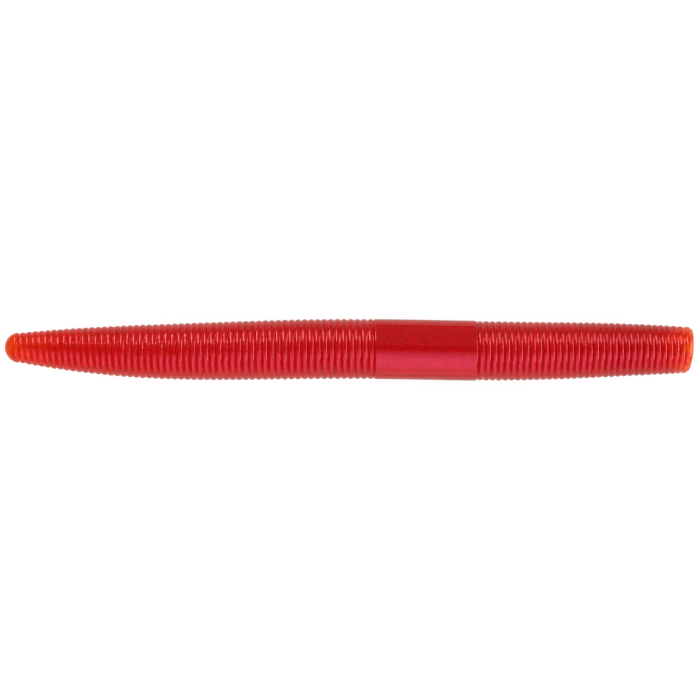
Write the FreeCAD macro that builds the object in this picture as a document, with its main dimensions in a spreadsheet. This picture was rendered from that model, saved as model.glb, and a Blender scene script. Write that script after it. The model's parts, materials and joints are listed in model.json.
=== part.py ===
import FreeCAD, Part
import math
import os

import Sketcher

# Soft plastic stick worm: one round, solid, tapered moulding of soft plastic, ringed from end to end,
# with a smooth band (the egg sack) ahead of its middle. It lies along X with its blunt head towards +X
# and its thin tail towards -X, and it rests on Z = 0 under the middle of its length.
#
# Soft plastic bends anywhere. Here the moulding is divided at ring grooves into short lengths, each a
# body of its own, so that it can bend at the planes between them. Every second plane bends sideways,
# about Z, and the others lift the ends, about Y. The end faces slope away from the plane on the side
# that closes, so that two neighbours never meet within the bend limit.

# Millimetres and degrees.
DIMENSIONS = {
    "nose_length": 2.7,  # tail's tip to the first groove
    "nose_dome": 2.2,  # part of it that is the rounded tip
    "tail_pitch": 1.19,  # mean ring pitch between tail and band
    "tail_pitch_spread": 0.036,  # rings by the band are wider than the mean by this much
    "band_length": 18.95,  # smooth band, from groove to groove
    "band_edge": 0.35,  # rounding at each end of the band
    "head_pitch": 1.15,  # mean ring pitch between band and head
    "head_pitch_spread": 0.029,
    "face_rim": 0.3,  # rounded rim of the head's end face
    "face_dome": 0.5,  # how far that face bulges past its rim
    "band_radius": 5.55,
    "head_root_radius": 5.49,  # over the rings, next to the band
    "tail_taper": 2.775,  # radius lost from the band to the tail
    "tail_taper_power": 3.5,
    "head_taper": 1.22,  # radius lost from the band to the head
    "head_taper_power": 2.0,
    "ring_depth": 0.3,  # crest to groove
    "nose_shoulder": 0.45,  # rounding between the tip and the first groove
    "face_step": 0.23,  # the end face's rim is this much smaller than the last groove
    "bend_limit": 9.0,  # most that one plane bends
    "band_bend_limit": 18.0,  # the same for the one plane in the smooth band
    "bend_slack": 1.0,  # spare angle left at that limit
    "plane_gap": 0.05,  # each end face's clearance from the plane between two lengths
}

# Rings in each length.
BAND_SIDE_RINGS = 1
LENGTH_RINGS = 2
TAIL_LENGTHS = 25
TAIL_TIP_RINGS = 4
HEAD_LENGTHS = 15
HEAD_END_RINGS = 3
TAIL_RINGS = BAND_SIDE_RINGS + TAIL_LENGTHS * LENGTH_RINGS + TAIL_TIP_RINGS
HEAD_RINGS = BAND_SIDE_RINGS + HEAD_LENGTHS * LENGTH_RINGS + HEAD_END_RINGS

STRAIGHT = None
SIDEWAYS = "XY_Plane"
UPWARDS = "XZ_Plane"
AXIS = "0"

doc = FreeCAD.newDocument("StickWorm")
sheet = doc.addObject("Spreadsheet::Sheet", "worm")
for row, (alias, value) in enumerate(DIMENSIONS.items(), start=1):
    sheet.set(f"A{row}", alias.replace("_", " "))
    sheet.set(f"B{row}", str(value))
    sheet.setAlias(f"B{row}", alias)
doc.recompute()


# ---- Stations and radii, as expressions on the sheet ----

TAIL_SIDE = f"(worm.nose_length + {TAIL_RINGS} * worm.tail_pitch)"
HEAD_SIDE = f"({HEAD_RINGS} * worm.head_pitch + worm.face_rim + worm.face_dome)"
BAND_START = f"(({TAIL_SIDE} - worm.band_length - {HEAD_SIDE}) / 2)"
BAND_END = f"({BAND_START} + worm.band_length)"
BAND_CENTRE = f"({BAND_START} + worm.band_length / 2)"
TAIL_TIP = f"({BAND_START} - {TAIL_SIDE})"


def spread(ring, rings, side):
    """How far a groove lies past its place at the mean pitch."""
    return f"worm.{side}_pitch_spread * {ring} * {rings - ring} / {rings}"


def tail_groove(ring):
    """Station of the groove beyond the ring-th ring from the band, towards the tail."""
    return f"({BAND_START} - {ring} * worm.tail_pitch - {spread(ring, TAIL_RINGS, 'tail')})"


def head_groove(ring):
    """Station of the groove beyond the ring-th ring from the band, towards the head."""
    return f"({BAND_END} + {ring} * worm.head_pitch + {spread(ring, HEAD_RINGS, 'head')})"


def tail_radius(station):
    """Radius in a groove on the tail side."""
    along = f"(({BAND_START} - {station}) / ({TAIL_RINGS} * worm.tail_pitch))"
    crest = f"worm.band_radius - worm.tail_taper * {along} ^ worm.tail_taper_power"
    return f"({crest} - worm.ring_depth)"


def head_radius(station):
    """Radius in a groove on the head side."""
    along = f"(({station} - {BAND_END}) / ({HEAD_RINGS} * worm.head_pitch))"
    crest = f"worm.head_root_radius - worm.head_taper * {along} ^ worm.head_taper_power"
    return f"({crest} - worm.ring_depth)"


# ---- Sketching ----


def plane_of(body, role):
    for feature in body.Origin.OriginFeatures:
        if feature.Role == role:
            return feature
    raise ValueError(role)


def new_sketch(body, name, role):
    sketch = body.newObject("Sketcher::SketchObject", name)
    sketch.AttachmentSupport = [(plane_of(body, role), "")]
    sketch.MapMode = "FlatFace"
    return sketch


def point_at(station, radius):
    return FreeCAD.Vector(sheet.evalExpression(station), sheet.evalExpression(radius), 0)


def arc_between(left, right, radius):
    """The short arc from right to left, counter-clockwise, that bulges away from the axis."""
    chord = right - left
    outwards = FreeCAD.Vector(-chord.y, chord.x, 0).normalize()
    inset = math.sqrt(radius**2 - (chord.Length / 2) ** 2)
    centre = (left + right) / 2 - outwards * inset
    start = math.atan2(right.y - centre.y, right.x - centre.x)
    end = math.atan2(left.y - centre.y, left.x - centre.x)
    circle = Part.Circle(centre, FreeCAD.Vector(0, 0, 1), radius)
    return Part.ArcOfCircle(circle, start, end)


def fix_point(sketch, edge, vertex, station, radius):
    """Holds one end of an edge at a station and a radius given by expressions."""
    at = point_at(station, radius)
    across = sketch.addConstraint(Sketcher.Constraint("DistanceX", -1, 1, edge, vertex, at.x))
    sketch.setExpression(f"Constraints[{across}]", station)
    if radius == AXIS:
        sketch.addConstraint(Sketcher.Constraint("PointOnObject", edge, vertex, -1))
        return
    up = sketch.addConstraint(Sketcher.Constraint("DistanceY", -1, 1, edge, vertex, at.y))
    sketch.setExpression(f"Constraints[{up}]", radius)


def draw_outline(sketch, outline):
    """Closed outline of (station, radius, edge to the next point), where an edge is STRAIGHT or the
    expression of an arc's radius. The last point joins the first with a straight line."""
    points = [point_at(station, radius) for station, radius, _ in outline]
    ends = []
    for index, (_, _, edge) in enumerate(outline):
        here = points[index]
        there = points[(index + 1) % len(points)]
        if edge is STRAIGHT:
            number = sketch.addGeometry(Part.LineSegment(here, there), False)
            ends.append((number, 1, 2))
            continue
        number = sketch.addGeometry(arc_between(here, there, sheet.evalExpression(edge)), False)
        ends.append((number, 2, 1))
        held = sketch.addConstraint(
            Sketcher.Constraint("Radius", number, sheet.evalExpression(edge))
        )
        sketch.setExpression(f"Constraints[{held}]", edge)
    for index, (number, _, last) in enumerate(ends):
        following, first, _ = ends[(index + 1) % len(ends)]
        sketch.addConstraint(Sketcher.Constraint("Coincident", number, last, following, first))
    for (number, first, _), (station, radius, _) in zip(ends, outline):
        fix_point(sketch, number, first, station, radius)


# ---- Features ----


def turned_body(name, outline):
    """A body turned about the worm's axis from a half outline."""
    body = doc.addObject("PartDesign::Body", name)
    body.Label = name
    body.setExpression("Placement.Base.z", "worm.band_radius")
    sketch = new_sketch(body, f"{name}_outline", "XZ_Plane")
    draw_outline(sketch, outline)
    turn = body.newObject("PartDesign::Revolution", f"{name}_turned")
    turn.Profile = sketch
    turn.ReferenceAxis = (sketch, ["H_Axis"])
    turn.Angle = 360
    body.Tip = turn
    return body


def relieve_end(body, plane, side):
    """Cuts one end back from a bending plane. The end lies towards side, +1 for the head and -1 for the
    tail. It slopes away on both sides of a sideways bend, and above an upward one."""
    station, bend, limit = plane
    reach = "(worm.band_radius + 1)"
    face = f"({station} - {side} * worm.plane_gap)"
    slope = f"({face} - {side} * {reach} * tan(({limit} + worm.bend_slack) / 2))"
    clear = f"({face} + {side} * {reach})"
    below = slope if bend == SIDEWAYS else face
    corners = [
        (face, AXIS),
        (slope, reach),
        (clear, reach),
        (clear, f"-{reach}"),
        (below, f"-{reach}"),
    ]
    name = f"{body.Name}_{'head' if side > 0 else 'tail'}_relief"
    sketch = new_sketch(body, f"{name}_outline", bend)
    draw_outline(sketch, [(across, up, STRAIGHT) for across, up in corners])
    cut = body.newObject("PartDesign::Pocket", name)
    cut.Profile = sketch
    cut.Type = "ThroughAll"
    cut.SideType = "Symmetric"
    body.Tip = cut


# ---- Outlines ----


def ring_arc(here, there):
    """Radius of the arc over a ring that stands ring_depth above the grooves at two stations."""
    return f"(({there} - {here}) ^ 2 / 4 + worm.ring_depth ^ 2) / (2 * worm.ring_depth)"


def ring_points(groove, radius, order):
    """Outline points at numbered grooves, from left to right, with an arc over each ring."""
    stations = [groove(number) for number in order]
    points = []
    for here, there in zip(stations, stations[1:]):
        points.append((here, radius(here), ring_arc(here, there)))
    points.append((stations[-1], radius(stations[-1]), STRAIGHT))
    return points


def tail_run(outer, inner):
    """Outline over the rings between two grooves on the tail side, tail first."""
    return ring_points(tail_groove, tail_radius, range(outer, inner - 1, -1))


def head_run(inner, outer):
    """Outline over the rings between two grooves on the head side, from the band outwards."""
    return ring_points(head_groove, head_radius, range(inner, outer + 1))


def closed_on_axis(points):
    """Closes a run of points with a straight face at each end, down to the axis."""
    return [(points[0][0], AXIS, STRAIGHT), *points, (points[-1][0], AXIS, STRAIGHT)]


def tail_tip_outline():
    inner = TAIL_RINGS - TAIL_TIP_RINGS
    shoulder = f"({TAIL_TIP} + worm.nose_dome)"
    crest = "(worm.band_radius - worm.tail_taper)"
    dome = f"({crest} ^ 2 + worm.nose_dome ^ 2) / (2 * worm.nose_dome)"
    run = tail_run(TAIL_RINGS, inner)
    return [
        (TAIL_TIP, AXIS, dome),
        (shoulder, crest, "worm.nose_shoulder"),
        *run,
        (run[-1][0], AXIS, STRAIGHT),
    ]


def band_tail_outline():
    rings = tail_run(BAND_SIDE_RINGS, 0)
    edge = f"({BAND_START} + worm.band_edge)"
    return [
        (rings[0][0], AXIS, STRAIGHT),
        *rings[:-1],
        (*rings[-1][:2], "worm.band_edge"),
        (edge, "worm.band_radius", STRAIGHT),
        (BAND_CENTRE, "worm.band_radius", STRAIGHT),
        (BAND_CENTRE, AXIS, STRAIGHT),
    ]


def band_head_outline():
    rings = head_run(0, BAND_SIDE_RINGS)
    edge = f"({BAND_END} - worm.band_edge)"
    return [
        (BAND_CENTRE, AXIS, STRAIGHT),
        (BAND_CENTRE, "worm.band_radius", STRAIGHT),
        (edge, "worm.band_radius", "worm.band_edge"),
        *rings,
        (rings[-1][0], AXIS, STRAIGHT),
    ]


def head_end_outline():
    inner = HEAD_RINGS - HEAD_END_RINGS
    run = head_run(inner, HEAD_RINGS)
    last = head_groove(HEAD_RINGS)
    rim = f"({last} + worm.face_rim)"
    rim_radius = f"({head_radius(last)} - worm.face_step)"
    dome = f"({rim_radius} ^ 2 + worm.face_dome ^ 2) / (2 * worm.face_dome)"
    return [
        (run[0][0], AXIS, STRAIGHT),
        *run[:-1],
        (*run[-1][:2], "worm.face_rim"),
        (rim, rim_radius, dome),
        (f"({rim} + worm.face_dome)", AXIS, STRAIGHT),
    ]


# ---- The lengths, from tail to head, each with the plane at its head end ----


def plane_at(station, number):
    """A bending plane, the number-th from the middle of the band: station, direction and limit. Planes
    bend sideways and upwards by turns."""
    bend = SIDEWAYS if number % 2 == 0 else UPWARDS
    limit = "worm.band_bend_limit" if number == 0 else "worm.bend_limit"
    return station, bend, limit


lengths = [("tail_tip", tail_tip_outline())]
planes = [plane_at(tail_groove(TAIL_RINGS - TAIL_TIP_RINGS), TAIL_LENGTHS + 1)]
for number in range(TAIL_LENGTHS, 0, -1):
    nearest = BAND_SIDE_RINGS + (number - 1) * LENGTH_RINGS
    rings_here = tail_run(nearest + LENGTH_RINGS, nearest)
    lengths.append((f"tail_rings_{number:02d}", closed_on_axis(rings_here)))
    planes.append(plane_at(tail_groove(nearest), number))
lengths.append(("band_tail_half", band_tail_outline()))
planes.append(plane_at(BAND_CENTRE, 0))
lengths.append(("band_head_half", band_head_outline()))
for number in range(1, HEAD_LENGTHS + 1):
    nearest = BAND_SIDE_RINGS + (number - 1) * LENGTH_RINGS
    rings_here = head_run(nearest, nearest + LENGTH_RINGS)
    planes.append(plane_at(head_groove(nearest), number))
    lengths.append((f"head_rings_{number:02d}", closed_on_axis(rings_here)))
planes.append(plane_at(head_groove(HEAD_RINGS - HEAD_END_RINGS), HEAD_LENGTHS + 1))
lengths.append(("head_end", head_end_outline()))

bodies = []
for index, (name, outline) in enumerate(lengths):
    body = turned_body(name, outline)
    if index > 0:
        relieve_end(body, planes[index - 1], -1)
    if index < len(planes):
        relieve_end(body, planes[index], +1)
    bodies.append(body)

doc.recompute()

for item in doc.Objects:
    if "Invalid" in item.State or "Error" in item.State:
        raise RuntimeError(f"{item.Name} failed: {item.State}")
for body in bodies:
    if body.Shape.isNull() or not body.Shape.isValid() or len(body.Shape.Solids) != 1:
        raise RuntimeError(f"{body.Label} isn't one sound solid")

os.makedirs("parts", exist_ok=True)
for body in bodies:
    body.Shape.exportStep(f"parts/{body.Label}.step")
    box = body.Shape.optimalBoundingBox()
    size = f"{box.XLength:6.2f} x {box.YLength:5.2f} x {box.ZLength:5.2f} mm"
    print(f"{body.Label:16s} from {box.XMin:6.2f}, {size}, {body.Shape.Volume:7.2f} mm3")
print(f"volume {sum(body.Shape.Volume for body in bodies):.1f} mm3")
for station, bend, limit in planes:
    print(f"plane {sheet.evalExpression(station):9.4f} {bend} {sheet.evalExpression(limit):.0f}")
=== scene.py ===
import json
import math

import bmesh
import bpy
import numpy as np
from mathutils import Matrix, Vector

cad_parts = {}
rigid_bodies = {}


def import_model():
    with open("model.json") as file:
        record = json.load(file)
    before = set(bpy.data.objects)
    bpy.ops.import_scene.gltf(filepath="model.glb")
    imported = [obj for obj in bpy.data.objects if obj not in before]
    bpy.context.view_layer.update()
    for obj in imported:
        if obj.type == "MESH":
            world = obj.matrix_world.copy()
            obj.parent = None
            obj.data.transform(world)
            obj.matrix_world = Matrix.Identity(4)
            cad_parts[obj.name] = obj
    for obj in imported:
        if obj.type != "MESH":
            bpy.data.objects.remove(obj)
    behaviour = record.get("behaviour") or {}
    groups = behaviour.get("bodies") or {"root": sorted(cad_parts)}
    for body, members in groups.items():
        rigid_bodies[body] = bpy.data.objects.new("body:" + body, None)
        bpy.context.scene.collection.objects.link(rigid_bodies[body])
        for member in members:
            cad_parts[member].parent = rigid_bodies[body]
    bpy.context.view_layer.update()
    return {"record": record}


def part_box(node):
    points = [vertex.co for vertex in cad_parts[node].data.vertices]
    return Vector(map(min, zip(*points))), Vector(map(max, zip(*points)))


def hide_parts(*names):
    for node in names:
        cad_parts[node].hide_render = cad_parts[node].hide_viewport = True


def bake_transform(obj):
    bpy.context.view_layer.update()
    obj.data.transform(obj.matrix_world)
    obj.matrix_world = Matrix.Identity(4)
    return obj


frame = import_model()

# Soft plastic stick worm: translucent red, ringed, with a smooth band. The CAD model holds it as short
# lengths that meet at bending planes. Here each plane gets one skin, from the middle of the length on its
# tail side to the middle of the length on its head side. Skins meet in the bottoms of ring grooves.

MM = 0.001
scene = bpy.context.scene

# ---------------------------------------------------------------- shape, as in the CAD model

TAIL_PITCH, TAIL_PITCH_SPREAD, TAIL_RINGS = 1.19 * MM, 0.036 * MM, 55
HEAD_PITCH, HEAD_PITCH_SPREAD, HEAD_RINGS = 1.15 * MM, 0.029 * MM, 34
NOSE_LENGTH, NOSE_DOME = 2.7 * MM, 2.2 * MM
FACE_RIM, FACE_DOME, FACE_STEP = 0.3 * MM, 0.5 * MM, 0.23 * MM
BAND_EDGE = 0.35 * MM
HEAD_ROOT_RADIUS = 5.49 * MM
TAIL_TAPER, TAIL_TAPER_POWER = 2.775 * MM, 3.5
HEAD_TAPER, HEAD_TAPER_POWER = 1.22 * MM, 2.0
RING_DEPTH = 0.3 * MM

TAIL_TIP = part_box("tail_tip")[0][0]
HEAD_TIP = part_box("head_end")[1][0]
BAND_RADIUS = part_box("band_tail_half")[1][2] / 2
BAND_START = TAIL_TIP + NOSE_LENGTH + TAIL_RINGS * TAIL_PITCH
BAND_END = HEAD_TIP - FACE_RIM - FACE_DOME - HEAD_RINGS * HEAD_PITCH

# ---------------------------------------------------------------- the unevenness of a real one

# The worm lies in a slight wave: turning points of its centreline, in mm along it and mm sideways.
WAVE = [(-88, 1.1), (-34, -0.28), (0, 0.20), (31, -0.19), (55, 0.04), (90, -0.25)]
FACE_TILT = math.tan(math.radians(4.5))  # the head's end face isn't quite square to the worm
TILT_RINGS = 3  # rings over which that tilt dies away
RING_UNEVENNESS = 0.02 * MM  # how much one ring's crest differs from the next
GROOVE_FILLET = 0.06 * MM  # a moulded groove is a little rounded at the bottom
DENT = 0.025 * MM  # how far the soft surface swells and sinks over a few mm

AROUND = 112  # points around the worm
RING_STEPS = 6  # points from a ring's fillet to its crest
NOSE_STEPS = 16
NOSE_BULGE = 0.03 * MM  # how far the tip's shoulder is from straight
EDGE_STEPS = 5  # points on a rounded edge
BAND_STEPS = 40
FACE_STEPS = 12
SWELLS = 9  # waves that the swelling is made of
POINT = 1e-7  # a smaller radius is a single point on the axis

random = np.random.default_rng(7)


def grooves(pitch, spread, rings):
    """Distances of the grooves from the band, for one side's rings."""
    number = np.arange(rings + 1)
    return number * pitch + spread * number * (rings - number) / rings


tail_grooves = BAND_START - grooves(TAIL_PITCH, TAIL_PITCH_SPREAD, TAIL_RINGS)
head_grooves = BAND_END + grooves(HEAD_PITCH, HEAD_PITCH_SPREAD, HEAD_RINGS)


def tail_crest(station):
    along = (BAND_START - station) / (TAIL_RINGS * TAIL_PITCH)
    return BAND_RADIUS - TAIL_TAPER * along**TAIL_TAPER_POWER


def head_crest(station):
    along = (station - BAND_END) / (HEAD_RINGS * HEAD_PITCH)
    return HEAD_ROOT_RADIUS - HEAD_TAPER * along**HEAD_TAPER_POWER


def wave(station):
    """Sideways offset of the centreline, in half cosines between turning points."""
    x = station / MM
    for (x0, y0), (x1, y1) in zip(WAVE, WAVE[1:]):
        if x0 <= x <= x1:
            share = (x - x0) / (x1 - x0)
            return MM * (y0 + (y1 - y0) * (1 - math.cos(math.pi * share)) / 2)
    return 0.0


class Outline:
    """The worm's half outline, from the tip to the end face."""

    def __init__(self):
        self.points = []  # (station, radius, depth of groove from 0 on a crest to 1 at the bottom)
        self.groove_at = {}  # groove's station, rounded to a micrometre: its index in points

    def add(self, station, radius, depth=0.0):
        self.points.append((station, radius, depth))

    def mark_groove(self, station):
        self.groove_at[round(station / MM, 3)] = len(self.points)

    def index_of(self, station):
        return self.groove_at[round(float(station) / MM, 3)]


def add_ring(outline, start, end, crest):
    """One bead, from its first groove up to its second, without the second."""
    half = (end - start) / 2
    middle = (start + end) / 2
    bead = (half**2 + RING_DEPTH**2) / (2 * RING_DEPTH)
    flank = math.asin(half / bead)
    lift = GROOVE_FILLET * (1 / math.cos(flank) - 1)
    fillet_end = GROOVE_FILLET * math.sin(flank)
    uneven = RING_UNEVENNESS * random.uniform(-1, 1)

    def section(across):
        """Height over the groove line, across from -half to half."""
        rise = math.sqrt(bead**2 - across**2) - (bead - RING_DEPTH)
        from_groove = half - abs(across)
        if from_groove < fillet_end:
            arc = lift + GROOVE_FILLET - math.sqrt(GROOVE_FILLET**2 - from_groove**2)
            rise = max(rise, arc)
        return rise

    outline.mark_groove(start)
    above_fillet = [(half - fillet_end) * (1 - step / RING_STEPS) for step in range(RING_STEPS + 1)]
    shares = [-half, fillet_end / 2 - half] + [-across for across in above_fillet]
    shares += above_fillet[-2::-1] + [half - fillet_end / 2]
    for across in shares:
        rise = section(across)
        station = middle + across
        swell = uneven * max(0.0, 1 - (across / half) ** 2)
        outline.add(station, crest(station) - RING_DEPTH + rise + swell, 1 - rise / RING_DEPTH)


def add_nose(outline):
    """Rounded tip, a part of a sphere, then its shoulder down to the last groove."""
    shoulder = tail_crest(tail_grooves[-1])
    ball = (shoulder**2 + NOSE_DOME**2) / (2 * NOSE_DOME)
    reach = math.acos((ball - NOSE_DOME) / ball)
    for step in range(NOSE_STEPS + 1):
        turn = reach * step / NOSE_STEPS
        outline.add(TAIL_TIP + ball * (1 - math.cos(turn)), ball * math.sin(turn))
    for share in (0.25, 0.5, 0.75):
        station = TAIL_TIP + NOSE_DOME + share * (NOSE_LENGTH - NOSE_DOME)
        bulge = NOSE_BULGE * math.sin(math.pi * share)
        outline.add(station, shoulder - RING_DEPTH * share**2 + bulge, share**2)


def add_band(outline):
    """The smooth band with its rounded edges, which drop to the grooves beside it."""
    outline.mark_groove(BAND_START)
    for step in range(EDGE_STEPS + 1):
        turn = math.pi / 2 * step / EDGE_STEPS
        drop = 1 - math.sin(turn)
        outline.add(BAND_START + BAND_EDGE * (1 - math.cos(turn)), BAND_RADIUS - RING_DEPTH * drop, drop)
    smooth = BAND_END - BAND_START - 2 * BAND_EDGE
    for step in range(1, BAND_STEPS):
        outline.add(BAND_START + BAND_EDGE + smooth * step / BAND_STEPS, BAND_RADIUS)
    head_drop = BAND_RADIUS - (HEAD_ROOT_RADIUS - RING_DEPTH)
    for step in range(EDGE_STEPS):
        turn = math.pi / 2 * (1 - step / EDGE_STEPS)
        drop = 1 - math.sin(turn)
        outline.add(BAND_END - BAND_EDGE * (1 - math.cos(turn)), BAND_RADIUS - head_drop * drop, drop)


def add_face(outline):
    """Rim and dome of the head's end face."""
    last = head_grooves[-1]
    low = head_crest(last) - RING_DEPTH
    outline.mark_groove(last)
    outline.add(last, low, 1.0)
    for step in range(1, EDGE_STEPS):
        turn = math.pi / 2 * step / EDGE_STEPS
        outline.add(last + FACE_RIM * math.sin(turn), low - FACE_STEP * (1 - math.cos(turn)))
    rim = low - FACE_STEP
    ball = (rim**2 + FACE_DOME**2) / (2 * FACE_DOME)
    reach = math.asin(rim / ball)
    for step in range(FACE_STEPS + 1):
        turn = reach * (1 - step / FACE_STEPS)
        outline.add(HEAD_TIP - ball * (1 - math.cos(turn)), ball * math.sin(turn))


outline = Outline()
add_nose(outline)
for start, end in zip(tail_grooves[::-1], tail_grooves[-2::-1]):
    add_ring(outline, start, end, tail_crest)
add_band(outline)
for start, end in zip(head_grooves, head_grooves[1:]):
    add_ring(outline, start, end, head_crest)
add_face(outline)

# Gentle swells of the surface: each a wave along the worm (in radians per metre) and around it.
swells = [
    (random.uniform(0.5, 2.2) / MM / 10, int(random.integers(1, 5)), random.uniform(0, 2 * math.pi))
    for number in range(SWELLS)
]


def dent(station, turn):
    total = sum(math.sin(station * along + around * turn + phase) for along, around, phase in swells)
    return DENT * total / len(swells)


def skin(name, first, last):
    """Closed mesh over the outline from one index to another. Its attribute place holds where a point lies
    on the straight worm, in mm from its axis, so that the colours don't slide when it bends, and depth how
    deep in a groove it lies."""
    turns = np.linspace(0, 2 * math.pi, AROUND, endpoint=False)
    tilt_start = head_grooves[-1 - TILT_RINGS]
    rows, verts, place, depths, faces = [], [], [], [], []
    for index in range(first, last + 1):
        station, radius, depth = outline.points[index]
        tilt = FACE_TILT * min(max((station - tilt_start) / (head_grooves[-1] - tilt_start), 0), 1)
        centre = wave(station)
        around = turns if radius > POINT else turns[:1]
        rows.append(range(len(verts), len(verts) + len(around)))
        for turn in around:
            swollen = radius + dent(station, turn) * min(1, radius / BAND_RADIUS)
            across, up = swollen * math.cos(turn), swollen * math.sin(turn)
            if radius <= POINT:
                across, up = 0.0, 0.0
            verts.append((station + tilt * across, centre + across, BAND_RADIUS + up))
            place.append((station / MM, across / MM, up / MM))
            depths.append(depth)
    for here, there in zip(rows, rows[1:]):
        for a in range(AROUND):
            b = (a + 1) % AROUND
            if len(here) == 1:
                faces.append((here[0], there[b], there[a]))
            elif len(there) == 1:
                faces.append((here[a], here[b], there[0]))
            else:
                faces.append((here[a], here[b], there[b], there[a]))
    # flat closures where it meets its neighbours
    caps = [row for row in (rows[0], rows[-1]) if len(row) > 1]
    faces += [tuple(row) for row in caps]
    mesh = bpy.data.meshes.new(name)
    mesh.from_pydata(verts, [], faces)
    made = bmesh.new()
    made.from_mesh(mesh)
    bmesh.ops.recalc_face_normals(made, faces=made.faces)
    made.to_mesh(mesh)
    made.free()
    for polygon in mesh.polygons:
        polygon.use_smooth = len(polygon.vertices) <= 4
    mesh.attributes.new("place", "FLOAT_VECTOR", "POINT").data.foreach_set("vector", np.ravel(place))
    mesh.attributes.new("depth", "FLOAT", "POINT").data.foreach_set("value", depths)
    piece = bpy.data.objects.new(name, mesh)
    scene.collection.objects.link(piece)
    return piece


# ---------------------------------------------------------------- material


def new_node(tree, kind, inputs=None, **settings):
    """A node with its plain settings, and its inputs set to values or linked to sockets."""
    made = tree.nodes.new(kind)
    for key, value in settings.items():
        setattr(made, key, value)
    for key, value in (inputs or {}).items():
        if isinstance(value, bpy.types.NodeSocket):
            tree.links.new(value, made.inputs[key])
        else:
            made.inputs[key].default_value = value
    return made


def ramp(tree, factor, stops):
    """Colour ramp through (position, colour) stops."""
    made = new_node(tree, "ShaderNodeValToRGB", {"Fac": factor})
    elements = made.color_ramp.elements
    while len(elements) < len(stops):
        elements.new(0.5)
    for element, (position, color) in zip(elements, stops):
        element.position = position
        element.color = (*color, 1)
    return made.outputs["Color"]


def mix(tree, factor, a, b, blend="MIX"):
    """Mixed colour; a and b are colours or sockets."""
    made = new_node(tree, "ShaderNodeMix", data_type="RGBA", blend_type=blend)
    for key, value in ((0, factor), (6, a), (7, b)):
        if isinstance(value, bpy.types.NodeSocket):
            tree.links.new(value, made.inputs[key])
        elif isinstance(value, tuple):
            made.inputs[key].default_value = (*value, 1)
        else:
            made.inputs[key].default_value = value
    return made.outputs[2]


def remap(tree, value, low, high, to_low=0.0, to_high=1.0):
    """The value, stretched from one range to another and held inside it."""
    made = new_node(tree, "ShaderNodeMapRange", {
        "Value": value, "From Min": low, "From Max": high, "To Min": to_low, "To Max": to_high})
    return made.outputs["Result"]


RED = (0.61, 0.004, 0.005)
BAND_RED = (0.58, 0.003, 0.004)
PEARL = (0.9, 0.05, 0.07)
# the first of these also darkens the groove bottoms further down: painted shade
CLOUDS_AND_GROOVE_SHADE = (0.72, 0.6, 0.6)  # what cloudy places and grain multiply the colour by
GRAINY = (0.85, 0.7, 0.75)
# How the body's colour runs along the worm: mm from its middle, colour. The orange at both ends is partly
# the plastic's own orange and partly painted light shining through the thin ends; the dip at 54 mm is
# painted shade that offsets the end lamp's light on those rings.
BODY_COLORS_AND_PAINTED_LIGHT = [
    (-63.0, (0.89, 0.078, 0.005)), (-61.5, (0.87, 0.037, 0.002)), (-58.5, (0.82, 0.024, 0.003)),
    (-55.5, (0.75, 0.013, 0.002)), (-51.0, (0.71, 0.008, 0.003)), (-42.0, (0.67, 0.006, 0.004)),
    (-20.0, (0.64, 0.004, 0.005)), (4.0, RED), (5.5, BAND_RED), (23.0, BAND_RED), (24.5, RED),
    (40.0, RED), (54.0, (0.56, 0.003, 0.003)), (57.0, (0.60, 0.005, 0.003)),
    (59.5, (0.70, 0.012, 0.003)), (61.0, (0.82, 0.028, 0.003)), (62.2, (0.94, 0.10, 0.005)),
    (63.0, (0.95, 0.17, 0.01)),
]
HALF_LENGTH = 63.5
COLOR_DRIFT = 1.2  # mm that a colour's place shifts by, so that no change is a straight line
FLECK_CORE, FLECK_EDGE, FLECK_STRENGTH = 0.1, 0.24, 0.35
# Its shine: a clear gloss (the coat) over a broad, red-tinted one.
SHINE = {
    "Metallic": 0.06,
    "Roughness": 0.34,
    "IOR": 1.45,
    "Specular IOR Level": 0.05,
    "Specular Tint": (1.0, 0.5, 1.0, 1),
    "Subsurface Weight": 0.6,
    "Subsurface Radius": (1.0, 0.15, 0.1),
    "Subsurface Scale": 0.4 * MM,
    "Coat Weight": 1.0,
    "Coat Roughness": 0.1,
    "Coat IOR": 1.45,
}


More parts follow.
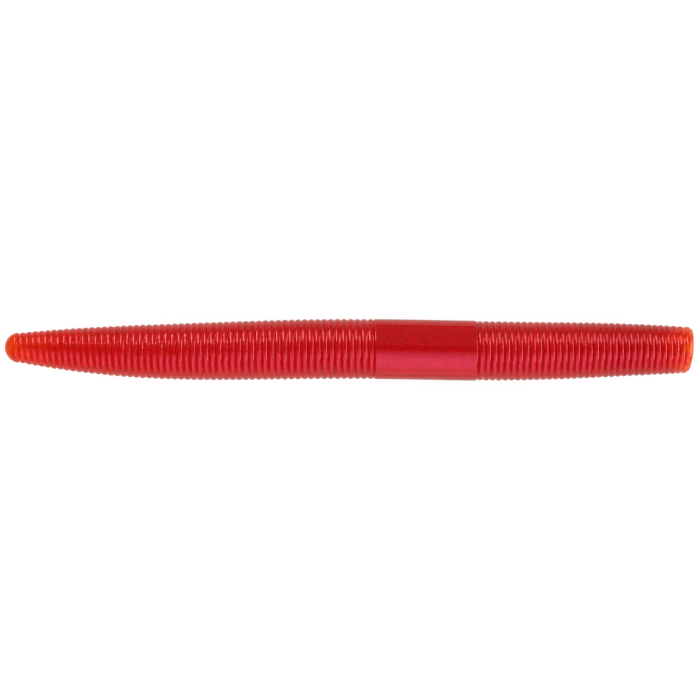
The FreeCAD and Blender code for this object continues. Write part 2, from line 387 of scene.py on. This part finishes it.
def plastic():
    """Translucent red with pearl in it."""
    material = bpy.data.materials.new("worm_plastic")
    material.use_nodes = True
    tree = material.node_tree
    shader = tree.nodes["Principled BSDF"]
    place = new_node(tree, "ShaderNodeAttribute", attribute_name="place").outputs["Vector"]
    depth = new_node(tree, "ShaderNodeAttribute", attribute_name="depth").outputs["Fac"]
    along = new_node(tree, "ShaderNodeSeparateXYZ", {"Vector": place}).outputs["X"]

    # towards both ends the plastic turns orange, painted brighter there as light shining through the thin
    # plastic
    drift = new_node(tree, "ShaderNodeTexNoise", {"Vector": place, "Scale": 0.6, "Detail": 2.0})
    shifted = new_node(tree, "ShaderNodeMath", {
        0: along, 1: remap(tree, drift.outputs["Fac"], 0.3, 0.7, -COLOR_DRIFT, COLOR_DRIFT)},
        operation="ADD")
    share = remap(tree, shifted.outputs["Value"], -HALF_LENGTH, HALF_LENGTH)
    stops = [((at + HALF_LENGTH) / (2 * HALF_LENGTH), color) for at, color in BODY_COLORS_AND_PAINTED_LIGHT]
    body = ramp(tree, share, stops)

    # cloudy variation, and the grain of salt and pearl in the plastic
    cloud = new_node(tree, "ShaderNodeTexNoise", {"Vector": place, "Scale": 0.9, "Detail": 4.0})
    body = mix(tree, remap(tree, cloud.outputs["Fac"], 0.4, 0.6, 0.0, 0.3), body, CLOUDS_AND_GROOVE_SHADE, "MULTIPLY")
    grain = new_node(tree, "ShaderNodeTexNoise", {"Vector": place, "Scale": 2.2, "Detail": 3.0})
    body = mix(tree, remap(tree, grain.outputs["Fac"], 0.42, 0.62), body, GRAINY, "MULTIPLY")
    cells = new_node(tree, "ShaderNodeTexVoronoi", {"Vector": place, "Scale": 2.4})
    fleck = remap(tree, cells.outputs["Distance"], FLECK_CORE, FLECK_EDGE, FLECK_STRENGTH, 0.0)
    body = mix(tree, fleck, body, PEARL)

    # painted shade: a little darker in the bottoms of the grooves, where less light gets in
    body = mix(tree, remap(tree, depth, 0.45, 1.0, 0.0, 0.2), body, CLOUDS_AND_GROOVE_SHADE, "MULTIPLY")
    tree.links.new(body, shader.inputs["Base Color"])

    # soft plastic never takes the mould's polish quite evenly
    skin_noise = new_node(tree, "ShaderNodeTexNoise", {"Vector": place, "Scale": 0.9, "Detail": 5.0})
    bump = new_node(tree, "ShaderNodeBump", {
        "Height": skin_noise.outputs["Fac"], "Strength": 0.5, "Distance": 0.08 * MM})
    tree.links.new(bump.outputs["Normal"], shader.inputs["Normal"])
    for key, value in SHINE.items():
        shader.inputs[key].default_value = value
    return material


# ---------------------------------------------------------------- skins, one for each bending plane

joints = sorted(frame["record"]["behaviour"]["joints"], key=lambda joint: joint["pos_m"][0])
stations = [joint["pos_m"][0] for joint in joints]
groove_stations = np.concatenate([tail_grooves, head_grooves])
seams = [0]
for left, right in zip(stations, stations[1:]):
    middle = (left + right) / 2
    seam = groove_stations[np.abs(groove_stations - middle).argmin()]
    for edge in (BAND_START, BAND_END):
        if left < edge < right:
            seam = edge
    seams.append(outline.index_of(seam))
seams.append(len(outline.points) - 1)

worm_plastic = plastic()
for joint, station, first, last in zip(joints, stations, seams, seams[1:]):
    piece = skin(f"skin_{joint['name']}", first, last)
    piece.data.materials.append(worm_plastic)
    tail_side, head_side = sorted((joint["parent"], joint["child"]), key=lambda node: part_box(node)[0][0])
    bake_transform(piece)
    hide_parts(tail_side, head_side)

# ---------------------------------------------------------------- floor, light and camera


FLOOR_HALF = 3.0
PANEL_AWAY = 0.7
PANEL_LENGTH = 1.0
MIDDLE = (0, 0, BAND_RADIUS)
PINK = (1.0, 0.25, 0.48)
PINK_ROSE = (1.0, 0.29, 0.42)
ROSE = (1.0, 0.34, 0.38)
DEEP_ROSE = (0.8, 0.37, 0.38)
WHITE = (1.0, 1.0, 1.0)
WARM = (1.0, 0.92, 0.82)
# What the worm's lower half reflects: degrees off straight above, from and to, then brightness, colour.
NEAR_SIDE = [
    (5, 13, 1.0, PINK), (13, 23, 2.1, PINK), (23, 34, 3.2, PINK),
    (34, 66, 4.1, PINK), (66, 78, 3.2, PINK_ROSE), (78, 108, 2.2, ROSE),
]


def floor():
    """A pale floor, bright enough to stay white beside the worm."""
    corners = [(x * FLOOR_HALF, y * FLOOR_HALF, 0) for x, y in ((-1, -1), (1, -1), (1, 1), (-1, 1))]
    mesh = bpy.data.meshes.new("floor")
    mesh.from_pydata(corners, [], [(0, 1, 2, 3)])
    plane = bpy.data.objects.new("floor", mesh)
    scene.collection.objects.link(plane)
    material = bpy.data.materials.new("floor")
    material.use_nodes = True
    shader = material.node_tree.nodes["Principled BSDF"]
    for key, value in {
        "Base Color": (0.27, 0.27, 0.27, 1), "Roughness": 0.8, "Specular IOR Level": 0.0,
        "Emission Color": (1, 1, 1, 1), "Emission Strength": 0.83,
    }.items():
        shader.inputs[key].default_value = value
    plane.data.materials.append(material)
    plane.visible_glossy = False  # its shine on the worm comes from the table glow


def softbox(name, place, aim, size, radiance, color):
    """A rectangular light that shows in the worm's gloss with the given brightness. The world and the
    floor light the worm; these only give it its reflections."""
    data = bpy.data.lights.new(name, "AREA")
    data.shape = "RECTANGLE"
    data.size, data.size_y = size
    data.energy = radiance * math.pi * size[0] * size[1]
    data.color = color
    lamp = bpy.data.objects.new(name, data)
    lamp.location = place
    lamp.rotation_euler = (Vector(aim) - Vector(place)).to_track_quat("-Z", "Y").to_euler()
    lamp.visible_camera = False
    lamp.visible_diffuse = False
    scene.collection.objects.link(lamp)


def panel(name, start, end, along, radiance, color):
    """A softbox that runs along the worm, from one angle to another off straight above, towards -Y."""
    middle, reach = math.radians((start + end) / 2), math.radians((end - start) / 2)
    aim = (along, 0, BAND_RADIUS)
    place = (along, -PANEL_AWAY * math.sin(middle), BAND_RADIUS + PANEL_AWAY * math.cos(middle))
    softbox(name, place, aim, (PANEL_LENGTH, 2 * PANEL_AWAY * math.tan(reach)), radiance, color)


floor()
for start, end, radiance, color in NEAR_SIDE:
    panel(f"near side {start}", start, end, 0.35, radiance, color)
panel("far side", -100, -16, 0.1, 0.15, WHITE)
softbox("strip", (-0.215, 0.374, 0.259), MIDDLE, (0.14, 0.42), 17.0, DEEP_ROSE)
softbox("end", (0.7, 0.05, 0.16), MIDDLE, (0.8, 0.32), 10.5, ROSE)
softbox("table glow", (0, 0, -0.1), MIDDLE, (0.7, 0.70), 0.55, WARM)

world = bpy.data.worlds.new("studio")
scene.world = world
world.use_nodes = True
background = world.node_tree.nodes["Background"]
background.inputs["Color"].default_value = (1, 1, 1, 1)
background.inputs["Strength"].default_value = 1.0
world.cycles_visibility.glossy = False  # the softboxes are all that the gloss shows

CAMERA_HEIGHT = 0.36
CAMERA_ALONG = 0.23 * MM
FRAME_WIDTH = 129.3 * MM  # what the photograph takes in at the worm's height
camera_data = bpy.data.cameras.new("camera")
camera_data.sensor_width = 36
camera_data.lens = camera_data.sensor_width * CAMERA_HEIGHT / FRAME_WIDTH
camera = bpy.data.objects.new("camera", camera_data)
camera.location = (CAMERA_ALONG, 0, BAND_RADIUS + CAMERA_HEIGHT)
scene.collection.objects.link(camera)
scene.camera = camera
scene.view_settings.view_transform = "Standard"
